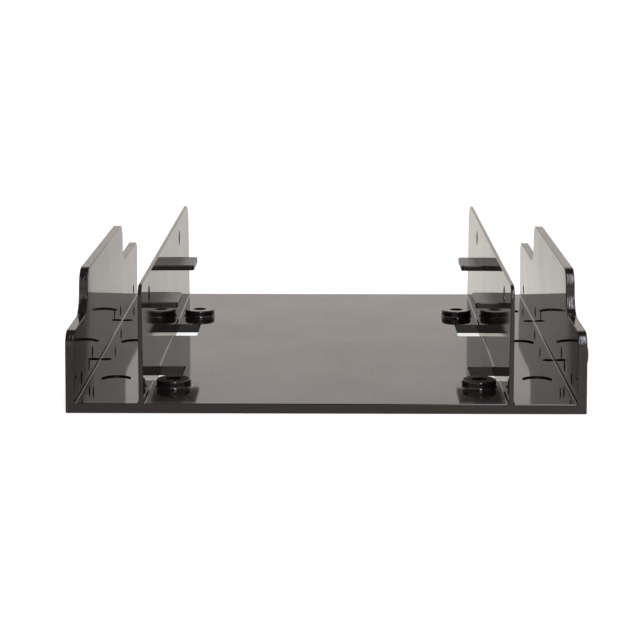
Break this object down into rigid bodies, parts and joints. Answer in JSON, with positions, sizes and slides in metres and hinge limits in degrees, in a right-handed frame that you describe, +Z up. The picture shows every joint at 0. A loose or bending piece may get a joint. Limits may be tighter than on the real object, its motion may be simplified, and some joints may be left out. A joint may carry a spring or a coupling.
{
  "type": "drive bay adapter bracket",
  "caption": "Moulded black plastic tray with thin inner walls, rest tabs and stepped outer walls that holds small form factor units in a 3.5 inch bay.",
  "frame": {"origin": "middle of the underside", "axes": "+X to the right across the bay, +Y back from the open connector end, +Z up out of the tray"},
  "size_m": [0.1019, 0.122, 0.0252],
  "materials": {
    "black_plastic": "gloss, as moulded"
  },
  "bodies": {
    "root": {"bracket": "black_plastic"}
  },
  "joints": []
}
